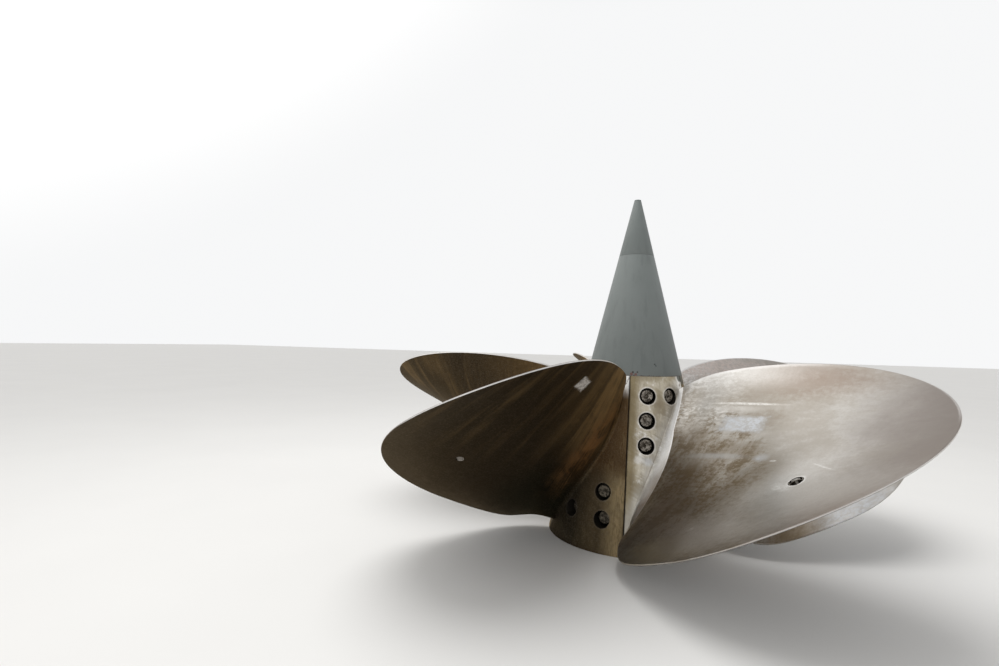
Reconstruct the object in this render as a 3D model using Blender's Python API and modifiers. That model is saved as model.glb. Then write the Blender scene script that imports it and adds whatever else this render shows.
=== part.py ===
# Built-up ship propeller standing on its hub as a monument, with a sheet-steel cone on top.
# Five cast blades, each with its own sector of the conical hub, are bolted round a core.
# Metres, +Z up. The origin is the centre of the hub's foot, and -Y is the seam that faces front.
import math

import bmesh
import bpy
from mathutils import Matrix, Vector

# Driving dimensions

BLADE_COUNT = 5
TIP_RADIUS = 2.400

HUB_FOOT_RADIUS = 0.713
HUB_TOP_RADIUS = 0.402
HUB_HEIGHT = 1.366
CORE_FOOT_RADIUS = 0.480
CORE_TOP_RADIUS = 0.240
SEAM_GAP = 0.007
SEAT_GAP = 0.0004

# The blade drawing: values at these shares of the tip radius, read between them by a smooth curve
STATIONS = (0.30, 0.50, 0.70, 1.00)
PITCH = (6.08, 7.47, 7.94, 6.98)
SKEW_DEG = (-6.2, 0.3, 2.7, 7.7)
PRESSURE_FACE_HEIGHT = (0.734, 0.839, 0.936, 1.142)
HALF_WIDTH = (0.851, 0.954, 1.006, 1.000)
TIP_ROUNDING = 7.4
HOLLOW_OF_FACE = 0.022

ROOT_THICKNESS = 0.180
TIP_THICKNESS = 0.030
LOWER_ROOT_EDGE_THICKNESS = 0.062
UPPER_ROOT_EDGE_THICKNESS = 0.022
TIP_EDGE_THICKNESS = 0.018
LOWER_FULLNESS = 2.4
UPPER_FULLNESS = 1.6
ROOT_FILLET = 0.035
ROOT_DEPTH_IN_PALM = 0.070

# Close to the hub the blade is twisted a little more upright than its drawing says
LOWER_ROOT_TWIST_DEG = 6.5
UPPER_ROOT_TWIST_DEG = 2.4
ROOT_TWIST_REACH = 0.250

# The lower corner of a blade stands out a little over the neighbour's palm
NOSE_OVERHANG_DEG = 1.4
NOSE_CLEARANCE = 0.005
SEAM_SHARPNESS = 14
NOSE_DROOP = 0.060
NOSE_DROOP_FROM_RADIUS = 1.632
NOSE_DROOP_TO_RADIUS = 1.152
UPPER_CORNER_DROP = 0.090
UPPER_CORNER_REACH = 0.350

LIFTING_HOLE_RADIUS = 0.030
LIFTING_HOLE_MOUTH_RADIUS = 0.040
LIFTING_HOLE_MOUTH_DEPTH = 0.012
LIFTING_HOLE_FROM_AXIS = 1.798
LIFTING_HOLE_BELOW_MIDDLE = 0.163

BOLT_HOLE_RADIUS = 0.066
BOLT_HEAD_RADIUS = 0.051
BOLT_HEAD_HEIGHT = 0.060
BOLT_HEAD_CHAMFER = 0.006
BOLT_HEAD_BELOW_SURFACE = 0.022
LOWEST_BOLT_HEAD_BELOW_SURFACE = 0.060

# Bolts over the blade stand in a column beside the left seam, with one more in the top row
UPPER_COLUMN_FROM_SEAM = 0.147
UPPER_COLUMN_TOP = 1.208
UPPER_COLUMN_SPACING = 0.192
UPPER_COLUMN_COUNT = 3
TOP_ROW_SPACING = 0.207

# Bolts under the blade stand in a column beside the right seam, with one more in the bottom row
LOWER_COLUMN_FROM_SEAM = 0.178
LOWER_COLUMN_TOP = 0.453
LOWER_COLUMN_SPACING = 0.205
LOWER_COLUMN_COUNT = 2
BOTTOM_ROW_SPACING = 0.305
BOTTOM_ROW_RISE = 0.024

CONE_TOTAL_HEIGHT = 1.534
CONE_WELD_HEIGHT = 1.034
CONE_TOP_RADIUS = 0.028
CONE_SHEET = 0.006
CAP_THICKNESS = 0.008

# How far the cutters run on past what they cut
RECESS_CUTTER_MOUTH = 0.110
PALM_CUTTER_REACH = 0.300

# How finely the solids are cut into facets

FACETS_PER_PALM = 12
FACE_POINTS = 9
NOSE_ANGLES_DEG = (60, 0, -60)
RINGS_OVER_HUB = (-ROOT_DEPTH_IN_PALM, -0.021, 0.006, 0.022, 0.045, 0.090, 0.160)
OUTER_RING_SHARES = (0.11, 0.23, 0.35, 0.48, 0.60, 0.71, 0.805, 0.885, 0.94, 0.974, 0.99, 0.998)
HOLE_FACETS = 16
BOLT_FACETS = 12

SECTOR = 2 * math.pi / BLADE_COUNT
FIRST_PALM_AZIMUTH = -math.pi / 2 + SECTOR / 2


def clear_scene():
    for obj in list(bpy.data.objects):
        bpy.data.objects.remove(obj, do_unlink=True)


def make_collection(name):
    collection = bpy.data.collections.new(name)
    bpy.context.scene.collection.children.link(collection)
    return collection


def make_material(name, colour, roughness, metallic):
    material = bpy.data.materials.new(name)
    material.use_nodes = True
    shader = material.node_tree.nodes["Principled BSDF"]
    shader.inputs["Base Color"].default_value = (*colour, 1.0)
    shader.inputs["Roughness"].default_value = roughness
    shader.inputs["Metallic"].default_value = metallic
    return material


def add_object(name, mesh, collection, material=None):
    obj = bpy.data.objects.new(name, mesh)
    collection.objects.link(obj)
    if material and not mesh.materials:
        mesh.materials.append(material)
    return obj


def add_cutter(name, mesh, collection):
    obj = add_object(name, mesh, collection)
    obj.hide_render = True
    obj.display_type = 'WIRE'
    return obj


def mesh_from(bm, name):
    bmesh.ops.recalc_face_normals(bm, faces=bm.faces)
    mesh = bpy.data.meshes.new(name)
    bm.to_mesh(mesh)
    bm.free()
    return mesh


def evaluated_mesh(obj, name):
    graph = bpy.context.evaluated_depsgraph_get()
    mesh = bpy.data.meshes.new_from_object(obj.evaluated_get(graph))
    mesh.name = name
    return mesh


def between_stations(values, share):
    """Value at a share of the tip radius: the cubic through the four stations."""
    total = 0.0
    for i, station in enumerate(STATIONS):
        weight = 1.0
        for j, other in enumerate(STATIONS):
            if j != i:
                weight *= (share - other) / (station - other)
        total += values[i] * weight
    return total


def hub_radius(height):
    return HUB_FOOT_RADIUS + (HUB_TOP_RADIUS - HUB_FOOT_RADIUS) * height / HUB_HEIGHT


def core_radius(height):
    return CORE_FOOT_RADIUS + (CORE_TOP_RADIUS - CORE_FOOT_RADIUS) * height / HUB_HEIGHT


def swept_profile(name, profile, start, end, steps):
    """A closed outline in the XZ plane, swept round Z from one azimuth to another."""
    bm = bmesh.new()
    first = [bm.verts.new(Matrix.Rotation(start, 3, 'Z') @ Vector((r, 0.0, z))) for r, z in profile]
    face = bm.faces.new(first)
    geometry = [face] + list(face.edges) + list(face.verts)
    bmesh.ops.spin(bm, geom=geometry, cent=(0, 0, 0), axis=(0, 0, 1), angle=end - start, steps=steps)
    return mesh_from(bm, name)


def turned_shell(name, profile, collection, material, steps):
    """A profile turned all the way round Z with a Screw modifier."""
    bm = bmesh.new()
    points = [bm.verts.new((r, 0.0, z)) for r, z in profile]
    for a, b in zip(points, points[1:]):
        bm.edges.new((a, b))
    mesh = bpy.data.meshes.new(name)
    bm.to_mesh(mesh)
    bm.free()
    obj = add_object(name, mesh, collection, material)
    screw = obj.modifiers.new("turn", 'SCREW')
    screw.steps = steps
    screw.render_steps = steps
    screw.use_merge_vertices = True
    screw.merge_threshold = 0.0001
    return obj


# The blade's form

def section(radius):
    """Pitch angle, azimuth of the middle, height of the middle and plain half width at a radius."""
    share = radius / TIP_RADIUS
    angle = math.atan2(between_stations(PITCH, share), 2 * math.pi * radius)
    middle = math.radians(between_stations(SKEW_DEG, share))
    height = between_stations(PRESSURE_FACE_HEIGHT, share)
    rounding = math.sqrt(max(0.0, 1 - min(share, 1.0) ** TIP_ROUNDING))
    return angle, middle, height, between_stations(HALF_WIDTH, share) * rounding


def limits(radius):
    """How far the section reaches below and above its middle, along the pitch line."""
    angle, middle, height, half = section(radius)
    droop = max(0.0, NOSE_DROOP_FROM_RADIUS - radius) / (NOSE_DROOP_FROM_RADIUS - NOSE_DROOP_TO_RADIUS)
    lower = half + NOSE_DROOP * droop ** 1.5
    seam = (SECTOR / 2 + math.radians(NOSE_OVERHANG_DEG) + middle) * radius / math.cos(angle)
    lower = (lower ** -SEAM_SHARPNESS + seam ** -SEAM_SHARPNESS) ** (-1 / SEAM_SHARPNESS)
    near_hub = 1 - (radius - hub_radius(height + half * math.sin(angle))) / UPPER_CORNER_REACH
    return -lower, half - UPPER_CORNER_DROP * min(max(0.0, near_hub), 1.0) ** 2


def point_on_section(radius, along, depth):
    """A point at a distance along the pitch line, sunk by a depth under the pressure face."""
    angle, middle, height, _ = section(radius)
    azimuth = middle + (along * math.cos(angle) + depth * math.sin(angle)) / radius
    z = height + along * math.sin(angle) - depth * math.cos(angle)
    return Vector((radius * math.cos(azimuth), radius * math.sin(azimuth), z))


def greatest_thickness(radius):
    share = min(1.0, (radius - HUB_TOP_RADIUS) / (TIP_RADIUS - HUB_TOP_RADIUS))
    return ROOT_THICKNESS + (TIP_THICKNESS - ROOT_THICKNESS) * share


def thickness(side, radius):
    """Thickness at a place from -1, lower edge, to 1, upper edge."""
    share = min(1.0, (radius - HUB_TOP_RADIUS) / (TIP_RADIUS - HUB_TOP_RADIUS))
    root_edge = UPPER_ROOT_EDGE_THICKNESS if side > 0 else LOWER_ROOT_EDGE_THICKNESS
    fullness = UPPER_FULLNESS if side > 0 else LOWER_FULLNESS
    edge = TIP_EDGE_THICKNESS + (root_edge - TIP_EDGE_THICKNESS) * (1 - share) ** 3
    return edge + (greatest_thickness(radius) - edge) * (1 - abs(side) ** fullness)


def fillet(distance):
    """How far a face swells out at this distance from the hub's surface."""
    inside = min(max(0.0, ROOT_FILLET - distance), ROOT_FILLET)
    return ROOT_FILLET - math.sqrt(ROOT_FILLET ** 2 - inside ** 2)


def root_twist(side, over_hub):
    """How much more upright the section stands at a distance over the hub."""
    near_hub = min(max(0.0, 1 - over_hub / ROOT_TWIST_REACH), 1.0)
    twist = LOWER_ROOT_TWIST_DEG + (UPPER_ROOT_TWIST_DEG - LOWER_ROOT_TWIST_DEG) * max(0.0, side)
    return math.radians(twist) * near_hub ** 2


def position(side, radius):
    """Distance along the section for a place from -1, lower edge, to 1, upper edge."""
    lower, upper = limits(radius)
    return lower + (upper - lower) * (side + 1) / 2


def radius_at_hub(side):
    """Radius at which the pressure face meets the cone of the hub."""
    radius = (HUB_FOOT_RADIUS + HUB_TOP_RADIUS) / 2
    for _ in range(30):
        height = point_on_section(radius, position(side, radius), 0.0).z
        radius += 0.6 * (hub_radius(height) - radius)
    return radius


def blade_point(side, ring, below):
    """A point of the blade's skin, on its pressure face or on the thick side below it."""
    over_hub, share = ring
    start = radius_at_hub(side)
    radius = start + over_hub + (TIP_RADIUS - start - over_hub) * share
    along = position(side, radius)
    depth = HOLLOW_OF_FACE * (1 - side ** 2) * min(max(0.0, (radius - start) / HUB_FOOT_RADIUS), 1.0)
    depth -= along * math.tan(root_twist(side, radius - start))
    if below:
        depth += thickness(side, radius)
    surface = point_on_section(radius, along, depth)
    fade = side ** 2 if side > 0 else side ** 8
    swell = fillet(radius - hub_radius(surface.z)) * (1 - fade)
    return point_on_section(radius, along, depth + swell if below else depth - swell)


def nose_points(side, ring):
    """The round edge of the blade, from the pressure face to the thick side."""
    top = blade_point(side, ring, False)
    bottom = blade_point(side, ring, True)
    middle = (top + bottom) / 2
    start = blade_point(side * 0.9, ring, False)
    outwards = (top - start).normalized()
    half = (top - bottom) / 2
    points = []
    for angle in NOSE_ANGLES_DEG:
        turn = math.radians(angle)
        points.append(middle + half * math.sin(turn) + outwards * half.length * math.cos(turn))
    return points


def rings():
    """Each ring's distance over the hub, and its share of the way on from there to the tip."""
    return [(over, 0.0) for over in RINGS_OVER_HUB] + [(RINGS_OVER_HUB[-1], s) for s in OUTER_RING_SHARES]


def blade_ring(ring):
    """One closed ring of points round the blade."""
    sides = [math.sin(math.pi / 2 * (2 * i / (FACE_POINTS - 1) - 1)) for i in range(FACE_POINTS)]
    inner = [side * 0.985 for side in sides]
    points = [blade_point(side, ring, False) for side in inner]
    points += nose_points(inner[-1], ring)
    points += [blade_point(side, ring, True) for side in reversed(inner)]
    points += reversed(nose_points(inner[0], ring))
    return points


def blade_loft():
    """The blade alone, from inside its palm to the tip."""
    bm = bmesh.new()
    loops = []
    for ring in rings():
        loops.append([bm.verts.new(point) for point in blade_ring(ring)])
    for a, b in zip(loops, loops[1:]):
        for i in range(len(a)):
            j = (i + 1) % len(a)
            bm.faces.new((a[i], a[j], b[j], b[i]))
    bm.faces.new(loops[0])
    bm.faces.new(loops[-1])
    bmesh.ops.triangulate(bm, faces=bm.faces)
    return mesh_from(bm, "blade_loft")


# The palm and its bolts

def palm_mesh():
    profile = [
        (core_radius(0.0) + SEAT_GAP, 0.0),
        (HUB_FOOT_RADIUS, 0.0),
        (HUB_TOP_RADIUS, HUB_HEIGHT),
        (core_radius(HUB_HEIGHT) + SEAT_GAP, HUB_HEIGHT),
    ]
    half = SECTOR / 2 - SEAM_GAP / 2 / HUB_FOOT_RADIUS
    return swept_profile("palm", profile, -half, half, FACETS_PER_PALM)


def neighbour_space_mesh():
    """The room that the other palms take, with the clearance under a blade's nose."""
    below = -PALM_CUTTER_REACH
    above = HUB_HEIGHT + PALM_CUTTER_REACH
    profile = [
        (0.0001, below),
        (hub_radius(below) + NOSE_CLEARANCE, below),
        (hub_radius(above) + NOSE_CLEARANCE, above),
        (0.0001, above),
    ]
    start = SECTOR / 2 - SEAM_GAP / 2 / HUB_FOOT_RADIUS
    end = 2 * math.pi - start
    return swept_profile("neighbour_space", profile, start, end, FACETS_PER_PALM * (BLADE_COUNT - 1))


def bolt_places():
    """Azimuth, height and depth of the head under the surface, for each bolt of a palm."""
    places = []
    for i in range(UPPER_COLUMN_COUNT):
        z = UPPER_COLUMN_TOP - i * UPPER_COLUMN_SPACING
        azimuth = -SECTOR / 2 + UPPER_COLUMN_FROM_SEAM / hub_radius(z)
        places.append((azimuth, z, BOLT_HEAD_BELOW_SURFACE))
    z = UPPER_COLUMN_TOP
    azimuth = -SECTOR / 2 + (UPPER_COLUMN_FROM_SEAM + TOP_ROW_SPACING) / hub_radius(z)
    places.append((azimuth, z, BOLT_HEAD_BELOW_SURFACE))
    for i in range(LOWER_COLUMN_COUNT):
        z = LOWER_COLUMN_TOP - i * LOWER_COLUMN_SPACING
        azimuth = SECTOR / 2 - LOWER_COLUMN_FROM_SEAM / hub_radius(z)
        last = i == LOWER_COLUMN_COUNT - 1
        places.append((azimuth, z, LOWEST_BOLT_HEAD_BELOW_SURFACE if last else BOLT_HEAD_BELOW_SURFACE))
    z = LOWER_COLUMN_TOP - (LOWER_COLUMN_COUNT - 1) * LOWER_COLUMN_SPACING + BOTTOM_ROW_RISE
    azimuth = SECTOR / 2 - (LOWER_COLUMN_FROM_SEAM + BOTTOM_ROW_SPACING) / hub_radius(z)
    places.append((azimuth, z, LOWEST_BOLT_HEAD_BELOW_SURFACE))
    return places


def bolt_matrix(azimuth, height, depth):
    """Turns local +Z to point out of the hub, with the top of the bolt head at the origin."""
    place = Vector(((hub_radius(height) - depth), 0.0, height))
    upright = Matrix.Rotation(math.pi / 2, 4, 'Y')
    return Matrix.Rotation(azimuth, 4, 'Z') @ Matrix.Translation(place) @ upright


def bolt_holes_mesh():
    bm = bmesh.new()
    for azimuth, height, depth in bolt_places():
        length = BOLT_HEAD_HEIGHT + SEAT_GAP + depth + RECESS_CUTTER_MOUTH
        middle = Matrix.Translation((0, 0, depth + RECESS_CUTTER_MOUTH - length / 2))
        bmesh.ops.create_cone(
            bm, cap_ends=True, segments=HOLE_FACETS, radius1=BOLT_HOLE_RADIUS, radius2=BOLT_HOLE_RADIUS,
            depth=length, matrix=bolt_matrix(azimuth, height, depth) @ middle)
    return mesh_from(bm, "bolt_holes")


def bolt_mesh():
    bm = bmesh.new()
    bmesh.ops.create_cone(
        bm, cap_ends=True, segments=BOLT_FACETS, radius1=BOLT_HEAD_RADIUS, radius2=BOLT_HEAD_RADIUS,
        depth=BOLT_HEAD_HEIGHT, matrix=Matrix.Translation((0, 0, -BOLT_HEAD_HEIGHT / 2)))
    rim = [edge for edge in bm.edges if all(v.co.z > -0.0001 for v in edge.verts)]
    bmesh.ops.bevel(bm, geom=rim, offset=BOLT_HEAD_CHAMFER, segments=1, affect='EDGES')
    return mesh_from(bm, "bolt")


def lifting_hole_mesh():
    """A plain hole square to the blade, with a wider mouth in the pressure face."""
    angle = section(LIFTING_HOLE_FROM_AXIS)[0]
    place = point_on_section(LIFTING_HOLE_FROM_AXIS, -LIFTING_HOLE_BELOW_MIDDLE, HOLLOW_OF_FACE)
    azimuth = math.atan2(place.y, place.x)
    turn = Matrix.Rotation(azimuth, 4, 'Z') @ Matrix.Rotation(angle, 4, 'X')
    frame = Matrix.Translation(place) @ turn
    most = greatest_thickness(LIFTING_HOLE_FROM_AXIS)
    bm = bmesh.new()
    bmesh.ops.create_cone(
        bm, cap_ends=True, segments=HOLE_FACETS, radius1=LIFTING_HOLE_RADIUS, radius2=LIFTING_HOLE_RADIUS,
        depth=4 * most, matrix=frame)
    straight = mesh_from(bm, "lifting_hole")
    bm = bmesh.new()
    bmesh.ops.create_cone(
        bm, cap_ends=True, segments=HOLE_FACETS,
        radius1=LIFTING_HOLE_MOUTH_RADIUS, radius2=LIFTING_HOLE_MOUTH_RADIUS,
        depth=most, matrix=frame @ Matrix.Translation((0, 0, most / 2 - LIFTING_HOLE_MOUTH_DEPTH)))
    return straight, mesh_from(bm, "lifting_hole_mouth")


def cut(obj, cutter, operation='DIFFERENCE'):
    boolean = obj.modifiers.new(cutter.name, 'BOOLEAN')
    boolean.operation = operation
    boolean.solver = 'EXACT'
    boolean.object = cutter


def blade_mesh(cutters):
    """One casting: blade and palm in one piece, with its bolt recesses and lifting hole."""
    loft = add_cutter("blade_form", blade_loft(), cutters)
    cut(loft, add_cutter("neighbour_space", neighbour_space_mesh(), cutters))
    trimmed = add_cutter("blade_trimmed", evaluated_mesh(loft, "blade_trimmed"), cutters)
    palm = add_cutter("palm_form", palm_mesh(), cutters)
    cut(palm, trimmed, 'UNION')
    cut(palm, add_cutter("bolt_recesses", bolt_holes_mesh(), cutters))
    straight, mouth = lifting_hole_mesh()
    cut(palm, add_cutter("lifting_hole_form", straight, cutters))
    cut(palm, add_cutter("lifting_hole_mouth_form", mouth, cutters))
    mesh = evaluated_mesh(palm, "blade")
    mesh.shade_smooth()
    mesh.set_sharp_from_angle(angle=math.radians(30))
    return mesh


def make_blades(root, model, cutters, blade_steel, bolt_steel):
    blade = blade_mesh(cutters)
    bolt = bolt_mesh()
    for k in range(BLADE_COUNT):
        azimuth = FIRST_PALM_AZIMUTH + k * SECTOR
        name = "blade_{}".format(k + 1)
        obj = add_object(name, blade, model, blade_steel)
        obj.rotation_euler.z = azimuth
        obj.parent = root
        for i, place in enumerate(bolt_places()):
            head = add_object("{}_bolt_{}".format(name, i + 1), bolt, model, bolt_steel)
            head.matrix_world = Matrix.Rotation(azimuth, 4, 'Z') @ bolt_matrix(*place)
            head.parent = root


# The core and the cone

def make_core(root, model, material):
    profile = [(0.0, HUB_HEIGHT), (CORE_TOP_RADIUS, HUB_HEIGHT), (CORE_FOOT_RADIUS, 0.0), (0.0, 0.0)]
    core = turned_shell("hub_core", profile, model, material, FACETS_PER_PALM * BLADE_COUNT)
    core.rotation_euler.z = FIRST_PALM_AZIMUTH - SECTOR / 2
    core.parent = root


def cone_radius(height):
    """Outer radius of the cone at a height over the hub's top."""
    return HUB_TOP_RADIUS + (CONE_TOP_RADIUS - HUB_TOP_RADIUS) * height / CONE_TOTAL_HEIGHT


def cone_section(name, low, high, root, model, material):
    """One rolled ring of sheet steel, open at both ends."""
    base = HUB_HEIGHT + SEAT_GAP
    profile = [
        (cone_radius(high) - CONE_SHEET, base + high),
        (cone_radius(high), base + high),
        (cone_radius(low), base + low),
        (cone_radius(low) - CONE_SHEET, base + low),
        (cone_radius(high) - CONE_SHEET, base + high),
    ]
    obj = turned_shell(name, profile, model, material, FACETS_PER_PALM * BLADE_COUNT)
    weld = obj.modifiers.new("close the ring", 'WELD')
    weld.merge_threshold = 0.0001
    obj.rotation_euler.z = FIRST_PALM_AZIMUTH - SECTOR / 2
    obj.parent = root


def make_cone(root, model, material):
    cone_section("cone_lower_section", 0.0, CONE_WELD_HEIGHT, root, model, material)
    end = CONE_TOTAL_HEIGHT - CAP_THICKNESS
    cone_section("cone_upper_section", CONE_WELD_HEIGHT + SEAT_GAP, end, root, model, material)
    bm = bmesh.new()
    bmesh.ops.create_cone(
        bm, cap_ends=True, segments=FACETS_PER_PALM * BLADE_COUNT // 2,
        radius1=cone_radius(end), radius2=CONE_TOP_RADIUS, depth=CAP_THICKNESS - SEAT_GAP)
    cap = add_object("cone_tip_cap", mesh_from(bm, "cone_tip_cap"), model, material)
    cap.location.z = HUB_HEIGHT + CONE_TOTAL_HEIGHT - (CAP_THICKNESS - SEAT_GAP) / 2 + SEAT_GAP
    cap.parent = root


def build():
    clear_scene()
    model = make_collection("ship_propeller")
    cutters = make_collection("cutters")
    blade_steel = make_material("blade_steel", (0.42, 0.39, 0.35), 0.38, 1.0)
    bolt_steel = make_material("bolt_steel", (0.30, 0.27, 0.24), 0.5, 1.0)
    core_steel = make_material("core_steel", (0.25, 0.24, 0.23), 0.6, 1.0)
    cone_paint = make_material("cone_paint", (0.15, 0.17, 0.17), 0.55, 0.0)
    root = bpy.data.objects.new("propeller", None)
    model.objects.link(root)
    make_blades(root, model, cutters, blade_steel, bolt_steel)
    make_core(root, model, core_steel)
    make_cone(root, model, cone_paint)
    bpy.context.view_layer.update()


build()
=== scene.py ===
import math

import bpy
from mathutils import Matrix, Vector
from mathutils.kdtree import KDTree


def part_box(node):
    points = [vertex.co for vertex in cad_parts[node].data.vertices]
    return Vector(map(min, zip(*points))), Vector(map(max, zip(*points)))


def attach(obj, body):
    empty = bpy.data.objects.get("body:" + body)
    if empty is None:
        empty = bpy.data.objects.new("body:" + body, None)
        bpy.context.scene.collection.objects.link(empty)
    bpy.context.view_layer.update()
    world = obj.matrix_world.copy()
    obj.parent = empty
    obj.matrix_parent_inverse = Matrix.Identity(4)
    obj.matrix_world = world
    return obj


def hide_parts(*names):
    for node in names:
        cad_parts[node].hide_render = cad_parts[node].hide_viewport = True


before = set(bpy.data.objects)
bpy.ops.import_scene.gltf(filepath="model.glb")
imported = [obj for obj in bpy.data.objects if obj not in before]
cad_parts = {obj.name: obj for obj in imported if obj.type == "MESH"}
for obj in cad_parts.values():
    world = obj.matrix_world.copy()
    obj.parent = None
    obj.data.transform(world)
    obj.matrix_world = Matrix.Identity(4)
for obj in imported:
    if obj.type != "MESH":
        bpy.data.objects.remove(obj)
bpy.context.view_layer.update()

# Viewpoint: a standing person's eye height and a wide lens, turned a little to the left of the hub
# and tilted by hand, as in the photograph. The colours are shown as they are, without a film curve.
EYE = (0.39843, -5.12049, 1.60617)
TURN_DEG = 17.8926
RISE_DEG = 1.0060
TILT_DEG = 1.4902
LENS_MM = 20.411
FILM_WIDTH_MM = 36.0
FURTHEST_SEEN = 300.0

view = bpy.data.cameras.new("viewpoint")
view.lens = LENS_MM
view.sensor_width = FILM_WIDTH_MM
view.sensor_fit = 'HORIZONTAL'
view.clip_end = FURTHEST_SEEN
camera = bpy.data.objects.new("viewpoint", view)
bpy.context.scene.collection.objects.link(camera)
aim = Matrix.Rotation(math.radians(TURN_DEG), 4, 'Z')
aim = aim @ Matrix.Rotation(math.radians(90 + RISE_DEG), 4, 'X')
aim = aim @ Matrix.Rotation(math.radians(TILT_DEG), 4, 'Z')
camera.matrix_world = Matrix.Translation(EYE) @ aim
bpy.context.scene.camera = camera
bpy.context.scene.view_settings.view_transform = 'Standard'


# Studio: a plain pale floor, an even pale surround that is brightest high behind the left side, and
# one large soft lamp overhead, in place of an overcast sky.
FLOOR_SIZE = 160.0
FLOOR_DROP = 0.0005
FLOOR_COLOUR = (0.74, 0.735, 0.72)
FLOOR_CLOUD = 0.94
FLOOR_ROUGHNESS = 0.85
SURROUND_LOW = (0.93, 0.935, 0.94)
SURROUND_HIGH = (0.40, 0.40, 0.405)
BRIGHTEST_WAY = (-0.57, 0.0, 0.82)
BRIGHTEST = (1.42, 1.40, 1.37)
DIM_RISE = (0.50, 0.78)
BRIGHT_SPREAD = (0.52, 1.0)
LAMP_PLACE = (-1.5, -1.0, 9.0)
LAMP_SIZE = 7.0
LAMP_POWER = 420.0


class Wire:
    """One output socket. Sums on it add Math nodes to its node tree."""

    def __init__(self, work, socket):
        self.work = work
        self.socket = socket

    def __add__(self, other):
        return self.work.math('ADD', self, other)

    def __radd__(self, other):
        return self.work.math('ADD', other, self)

    def __sub__(self, other):
        return self.work.math('SUBTRACT', self, other)

    def __rsub__(self, other):
        return self.work.math('SUBTRACT', other, self)

    def __mul__(self, other):
        return self.work.math('MULTIPLY', self, other)

    def __rmul__(self, other):
        return self.work.math('MULTIPLY', other, self)

    def __truediv__(self, other):
        return self.work.math('DIVIDE', self, other)


class Work:
    """The node tree of one finish, and its shader."""

    def __init__(self, tree, shader):
        self.tree = tree
        self.shader = tree.nodes[shader]

    def give(self, socket, value):
        """Links a wire to a socket, or sets its fixed value."""
        if isinstance(value, Wire):
            self.tree.links.new(value.socket, socket)
        else:
            socket.default_value = value

    def shade(self, **sockets):
        """Gives values to the shader's sockets, named with underscores for spaces."""
        for name, value in sockets.items():
            self.give(self.shader.inputs[name.replace("_", " ")], value)

    def node(self, kind, settings, values, output=0):
        """Adds a node: its settings first, then values or wires for its sockets."""
        node = self.tree.nodes.new(kind)
        for name, value in settings.items():
            setattr(node, name, value)
        for name, value in values.items():
            self.give(node.inputs[name], value)
        return Wire(self, node.outputs[output])

    def math(self, operation, *values):
        return self.node("ShaderNodeMath", {"operation": operation}, dict(enumerate(values)))

    def vector_math(self, operation, *vectors, output="Vector"):
        settings = {"operation": operation}
        return self.node("ShaderNodeVectorMath", settings, dict(enumerate(vectors)), output)

    def mix(self, share, first, second):
        """Colour between two colours."""
        settings = {"data_type": 'RGBA', "clamp_factor": True}
        values = {0: share, 6: rgba(first), 7: rgba(second)}
        return self.node("ShaderNodeMix", settings, values, output=2)

    def ease(self, value, start, end):
        """0 at start and before it, 1 at end and past it, with a soft change between."""
        values = {"Value": value, "From Min": start, "From Max": end}
        return self.node("ShaderNodeMapRange", {"interpolation_type": 'SMOOTHSTEP'}, values)

    def place(self):
        """Position in metres, in the object's own frame."""
        return self.node("ShaderNodeTexCoord", {}, {}, output="Object")

    def moved(self, vector, location=(0, 0, 0), turn=0.0, scale=(1, 1, 1), kind='POINT'):
        values = {"Vector": vector, "Location": location, "Rotation": (0, 0, turn), "Scale": scale}
        return self.node("ShaderNodeMapping", {"vector_type": kind}, values)

    def noise(self, vector, scale, detail=4.0, roughness=0.55, distortion=0.0):
        values = {"Vector": vector, "Scale": scale, "Detail": detail, "Roughness": roughness}
        values["Distortion"] = distortion
        return self.node("ShaderNodeTexNoise", {}, values)

    def split(self, vector):
        """The three parts of a vector."""
        first = self.node("ShaderNodeSeparateXYZ", {}, {0: vector})
        return [Wire(self, socket) for socket in first.socket.node.outputs]

    def bump(self, height, strength):
        """Normal of a relief whose height is given in metres."""
        values = {"Height": height, "Distance": 1.0, "Strength": strength}
        return self.node("ShaderNodeBump", {}, values)


def rgba(colour):
    """A colour as a socket takes it. A wire passes through."""
    return colour if isinstance(colour, Wire) else (*colour, 1.0)


def new_finish(name):
    """A material and its work."""
    material = bpy.data.materials.new(name)
    material.use_nodes = True
    return material, Work(material.node_tree, "Principled BSDF")


def added(primitive, name, **sizes):
    """A new primitive, with nothing else selected."""
    bpy.ops.object.select_all(action='DESELECT')
    primitive(**sizes)
    bpy.context.object.name = name
    return bpy.context.object


surround = bpy.data.worlds.new("soft_surround")
surround.use_nodes = True
bpy.context.scene.world = surround
work = Work(surround.node_tree, "Background")
direction = work.node("ShaderNodeTexCoord", {}, {}, output="Generated")
rise = work.split(direction)[2]
glow = work.mix(work.ease(rise, *DIM_RISE), SURROUND_LOW, SURROUND_HIGH)
towards = work.vector_math('DOT_PRODUCT', direction, BRIGHTEST_WAY, output="Value")
glow = work.mix(work.ease(towards, *BRIGHT_SPREAD), glow, BRIGHTEST)
work.shade(Color=glow)

floor = added(bpy.ops.mesh.primitive_plane_add, "floor", size=FLOOR_SIZE, location=(0, 0, -FLOOR_DROP))
material, work = new_finish("pale_floor")
cloud = work.noise(work.place(), 0.6, 3.0)
darker = tuple(FLOOR_CLOUD * part for part in FLOOR_COLOUR)
work.shade(Base_Color=work.mix(cloud, FLOOR_COLOUR, darker), Roughness=FLOOR_ROUGHNESS)
floor.data.materials.append(material)

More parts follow.
